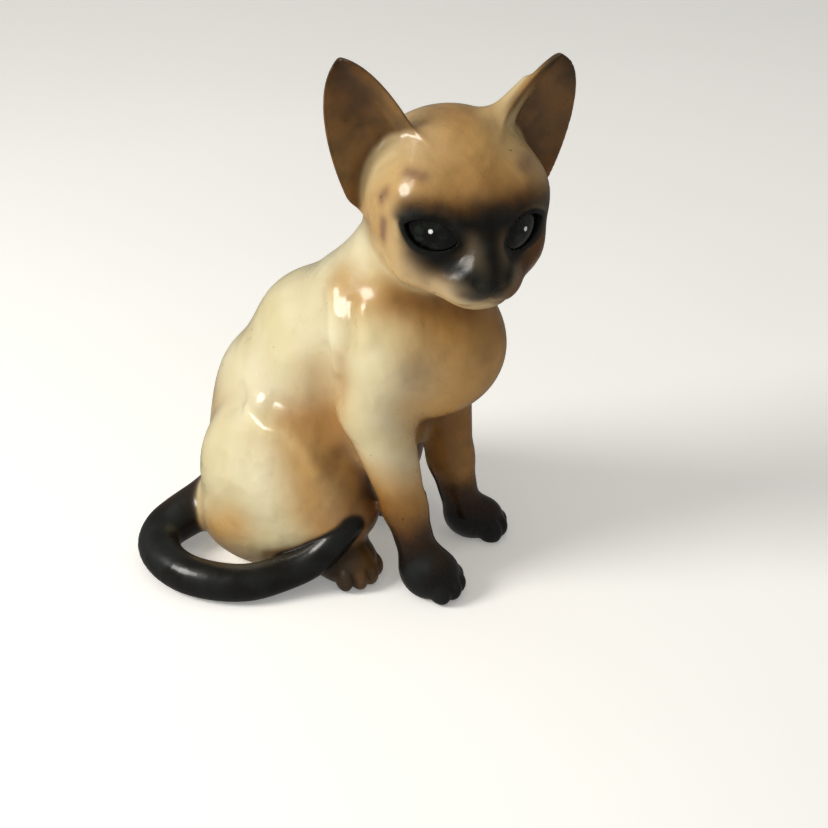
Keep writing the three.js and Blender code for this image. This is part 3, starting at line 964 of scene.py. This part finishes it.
def eye_enamel():
    """Glossy black eye with a dark striated iris and a small painted catchlight."""
    nodes = Nodes("eye_enamel")
    place = nodes.add("ShaderNodeAttribute", attribute_name="iris").outputs["Vector"]
    distance = nodes.add("ShaderNodeVectorMath", {0: place}, operation="LENGTH").outputs["Value"]
    ring = nodes.add("ShaderNodeVectorMath", {0: place}, operation="NORMALIZE").outputs["Vector"]
    streaks = nodes.add("ShaderNodeTexNoise", {"Vector": ring, "Scale": 2.5, "Detail": 4.0})
    tint = nodes.mix(nodes.ramp(streaks.outputs["Fac"], 0.35, 0.7), linear(9, 11, 8),
                     linear(29, 35, 29))
    iris = nodes.math("MULTIPLY", nodes.ramp(distance, *PUPIL_EDGE),
                      nodes.ramp(distance, *IRIS_EDGE))
    colour = nodes.mix(iris, linear(8, 8, 8), tint)
    spot = nodes.add("ShaderNodeVectorMath", {0: place, 1: CATCHLIGHT},
                     operation="DISTANCE").outputs["Value"]
    colour = nodes.mix(nodes.ramp(spot, *CATCHLIGHT_EDGE), colour, linear(236, 238, 236))
    shader = nodes.shader
    nodes.tree.links.new(colour, shader.inputs["Base Color"])
    rough = nodes.ramp(nodes.noise(300, 2), 0.3, 0.7, 0.03, 0.06)
    nodes.tree.links.new(rough, shader.inputs["Roughness"])
    shader.inputs["Specular IOR Level"].default_value = 0.2
    shader.inputs["Coat Weight"].default_value = 0.8
    shader.inputs["Coat Roughness"].default_value = 0.03
    return nodes.material


# ---------------------------------------------------------------- pieces

def to_row(points):
    return (points - np.float32(SEAT_CENTRE)) * MILLIMETRE


def make_object(name, points, triangles, normals, attributes, material):
    mesh = bpy.data.meshes.new(name)
    mesh.from_pydata(to_row(points).tolist(), [], triangles.tolist())
    for label, values in attributes.items():
        if values.ndim == 1:
            mesh.attributes.new(label, "FLOAT", "POINT").data.foreach_set("value", values)
        else:
            layer = mesh.attributes.new(label, "FLOAT_VECTOR", "POINT")
            layer.data.foreach_set("vector", values.ravel())
    mesh.shade_smooth()
    if normals is not None:
        mesh.normals_split_custom_set_from_vertices(normals)
    mesh.materials.append(material)
    piece = bpy.data.objects.new(name, mesh)
    bpy.context.scene.collection.objects.link(piece)
    return piece


def add_casting(node, mesh, slot):
    """A piece that stands for the CAD node of the same name."""
    points, triangles = capped(mesh)
    _, slope = level_and_slope(clay, points)
    normals = slope / (lengths(slope) + 1e-9)[:, None]
    coats = {label: np.clip(values, 0, 1).astype(np.float32)
             for label, values in paint(points, normals).items()}
    piece = make_object(f"{node}_casting", points, triangles, normals, coats, finishes[slot])
    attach(piece, "root")
    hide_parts(node)


def add_eye(node, side):
    """Eyeball: a fine grid bent round the ball, with its pole looking out of the lids."""
    rings, columns = 48, 72
    tilt = np.linspace(0, math.pi, rings + 1)[1:-1]
    around = np.linspace(0, 2 * math.pi, columns, endpoint=False)
    polar, turn = np.meshgrid(tilt, around, indexing="ij")
    sphere = np.stack([np.sin(polar) * np.cos(turn), -np.cos(polar),
                       np.sin(polar) * np.sin(turn)], -1).reshape(-1, 3)
    sphere = np.vstack([sphere, [(0, -1, 0), (0, 1, 0)]]).astype(np.float32)
    local = sphere * np.float32(EYE_BALL)
    triangles = []
    for ring in range(rings - 1):
        for column in range(columns):
            beside = (column + 1) % columns
            here, right = ring * columns + column, ring * columns + beside
            if ring == 0:
                triangles.append((len(local) - 2, right, here))
            if ring == rings - 2:
                triangles.append((len(local) - 1, here, right))
            else:
                below, across = here + columns, right + columns
                triangles += [(here, right, across), (here, across, below)]
    in_frame = local @ EYE_MATRIX.T + EYE_BALL_CENTRES[side]
    in_frame[:, 0] *= side
    points = in_frame @ HEAD_MATRIX.T + np.float32(HEAD_CENTRE)
    triangles = np.array(triangles)
    if side > 0:
        triangles = triangles[:, ::-1]
    iris = np.stack([local[:, 0] * side, 0 * local[:, 0], local[:, 2]], 1)
    piece = make_object(f"{node}_ball", points, triangles, None, {"iris": iris},
                        finishes["eye_enamel"])
    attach(piece, "root")
    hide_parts(node)


LEG_TOP = 92                     # the forelegs' castings end below this height


def neck_seam(p):
    slope = math.radians(NECK_CUT_SLOPE)
    normal = np.float32((0, -math.sin(slope), math.cos(slope)))
    return (p - np.float32(NECK_CUT)) @ normal


def ear_seam(p):
    q = in_head(p)
    return ear_mass(q) - skull(q)


def middle_seam(p):
    """Has the cat's left on its negative side."""
    return -p[:, 0]


def head_middle_seam(p):
    return -in_head(p)[:, 0]


def leg_seam(p):
    return np.maximum(any_foreleg(p) - trunk(p), p[:, 2] - LEG_TOP)


def foot_seam(p):
    return any_hind_foot(p) - trunk(p)


def tail_seam(p):
    return tail(p) - np.minimum(trunk(p), any_hind_foot(p))


finishes = {
    "cream_glaze": glaze("cream_glaze", 0.34, 0.9, 0.7),
    "tan_glaze": glaze("tan_glaze", 0.32, 1.0, 0.6, 0.8),
    "point_glaze": glaze("point_glaze", 0.34, 0.5, 0.6),
    "leg_glaze": glaze("leg_glaze", 0.28, 0.5, 0.6, 0.1),
    "tail_glaze": glaze("tail_glaze", 0.34, 0.5, 0.45, 0.1),
    "eye_enamel": eye_enamel(),
}

# Each block that is meshed in one go: two corners and the size of its voxels.
HEAD_BLOCK = (-62, -104, 104), (56, 12, 208), 0.62
TORSO_BLOCK = (-52, -72, -3), (52, 66, 136), 0.95
LIMBS_BLOCK = (-44, -70, -3), (44, 14, 104), 0.7
TAIL_BLOCK = (-76, -30, -3), (16, 72, 42), 0.75

_, upper = divide(tessellate(*HEAD_BLOCK), neck_seam)
both_ears, head = divide(upper, ear_seam)
add_casting("head", head, "tan_glaze")
left_ear, right_ear = divide(both_ears, head_middle_seam)
add_casting("left_ear", left_ear, "point_glaze")
add_casting("right_ear", right_ear, "point_glaze")

torso, _ = divide(tessellate(*TORSO_BLOCK), neck_seam)
for seam in (leg_seam, foot_seam, tail_seam):
    _, torso = divide(torso, seam)
add_casting("torso", torso, "cream_glaze")

both_legs, others = divide(tessellate(*LIMBS_BLOCK), leg_seam)
both_feet, _ = divide(others, foot_seam)
for limb, mesh, slot in (("foreleg", both_legs, "leg_glaze"),
                         ("hind_foot", both_feet, "point_glaze")):
    left, right = divide(mesh, middle_seam)
    add_casting(f"left_{limb}", left, slot)
    add_casting(f"right_{limb}", right, slot)

tail_part, _ = divide(tessellate(*TAIL_BLOCK), tail_seam)
add_casting("tail", tail_part, "tail_glaze")

add_eye("left_eye", 1)
add_eye("right_eye", -1)

# ---------------------------------------------------------------- studio

TARGET = Vector((-0.010, -0.020, 0.090))
AZIMUTH, ELEVATION, DISTANCE = -60, 27, 0.650
AIM = Vector((-0.0069, -0.0529, 0.0658))
LENS = 77.2
WORLD_LIGHT = 0.14
FLOOR_HALF, FLOOR_GLOW = 6.0, 0.22


def on_sphere(centre, azimuth, elevation, distance):
    turn, lift = math.radians(azimuth), math.radians(elevation)
    return centre + distance * Vector((math.sin(turn) * math.cos(lift),
                                       -math.cos(turn) * math.cos(lift), math.sin(lift)))


def look_at(thing, target):
    thing.rotation_euler = (target - thing.location).to_track_quat("-Z", "Y").to_euler()


def add_softbox(name, azimuth, elevation, distance, size, power, tint, reflected=True):
    light = bpy.data.lights.new(name, "AREA")
    light.shape = "DISK"
    light.size, light.energy, light.color = size, power, tint
    lamp = bpy.data.objects.new(name, light)
    bpy.context.scene.collection.objects.link(lamp)
    lamp.location = on_sphere(TARGET, azimuth, elevation, distance)
    look_at(lamp, TARGET)
    lamp.visible_glossy = reflected


camera = bpy.data.objects.new("camera", bpy.data.cameras.new("camera"))
bpy.context.scene.collection.objects.link(camera)
camera.data.lens = LENS
camera.data.sensor_width = 36
camera.location = on_sphere(TARGET, AZIMUTH, ELEVATION, DISTANCE)
look_at(camera, AIM)
bpy.context.scene.camera = camera

add_softbox("key", -132, 36, 1.0, 0.45, 8.2, (1.0, 0.97, 0.91))
add_softbox("fill", -60, 50, 2.2, 2.4, 7.0, (1.0, 0.95, 0.86), reflected=False)
add_softbox("top", 0, 88, 2.2, 3.0, 13, (1.0, 0.97, 0.91), reflected=False)

world = bpy.data.worlds.new("studio")
bpy.context.scene.world = world
world.use_nodes = True
world.node_tree.nodes["Background"].inputs[0].default_value = (1.0, 0.96, 0.9, 1)
world.node_tree.nodes["Background"].inputs[1].default_value = WORLD_LIGHT
bpy.context.scene.view_settings.view_transform = "Standard"


def add_floor():
    nodes = Nodes("pale_floor")
    tint = nodes.mix(nodes.ramp(nodes.noise(3, 3), 0.3, 0.7), linear(247, 247, 245),
                     linear(251, 251, 250))
    nodes.tree.links.new(tint, nodes.shader.inputs["Base Color"])
    nodes.shader.inputs["Roughness"].default_value = 0.9
    nodes.shader.inputs["Emission Color"].default_value = linear(255, 255, 252)
    nodes.shader.inputs["Emission Strength"].default_value = FLOOR_GLOW
    mesh = bpy.data.meshes.new("floor")
    corners = [(x * FLOOR_HALF, y * FLOOR_HALF, 0)
               for x, y in ((-1, -1), (1, -1), (1, 1), (-1, 1))]
    mesh.from_pydata(corners, [], [(0, 1, 2, 3)])
    mesh.materials.append(nodes.material)
    floor = bpy.data.objects.new("floor", mesh)
    bpy.context.scene.collection.objects.link(floor)
    floor.visible_glossy = False


add_floor()
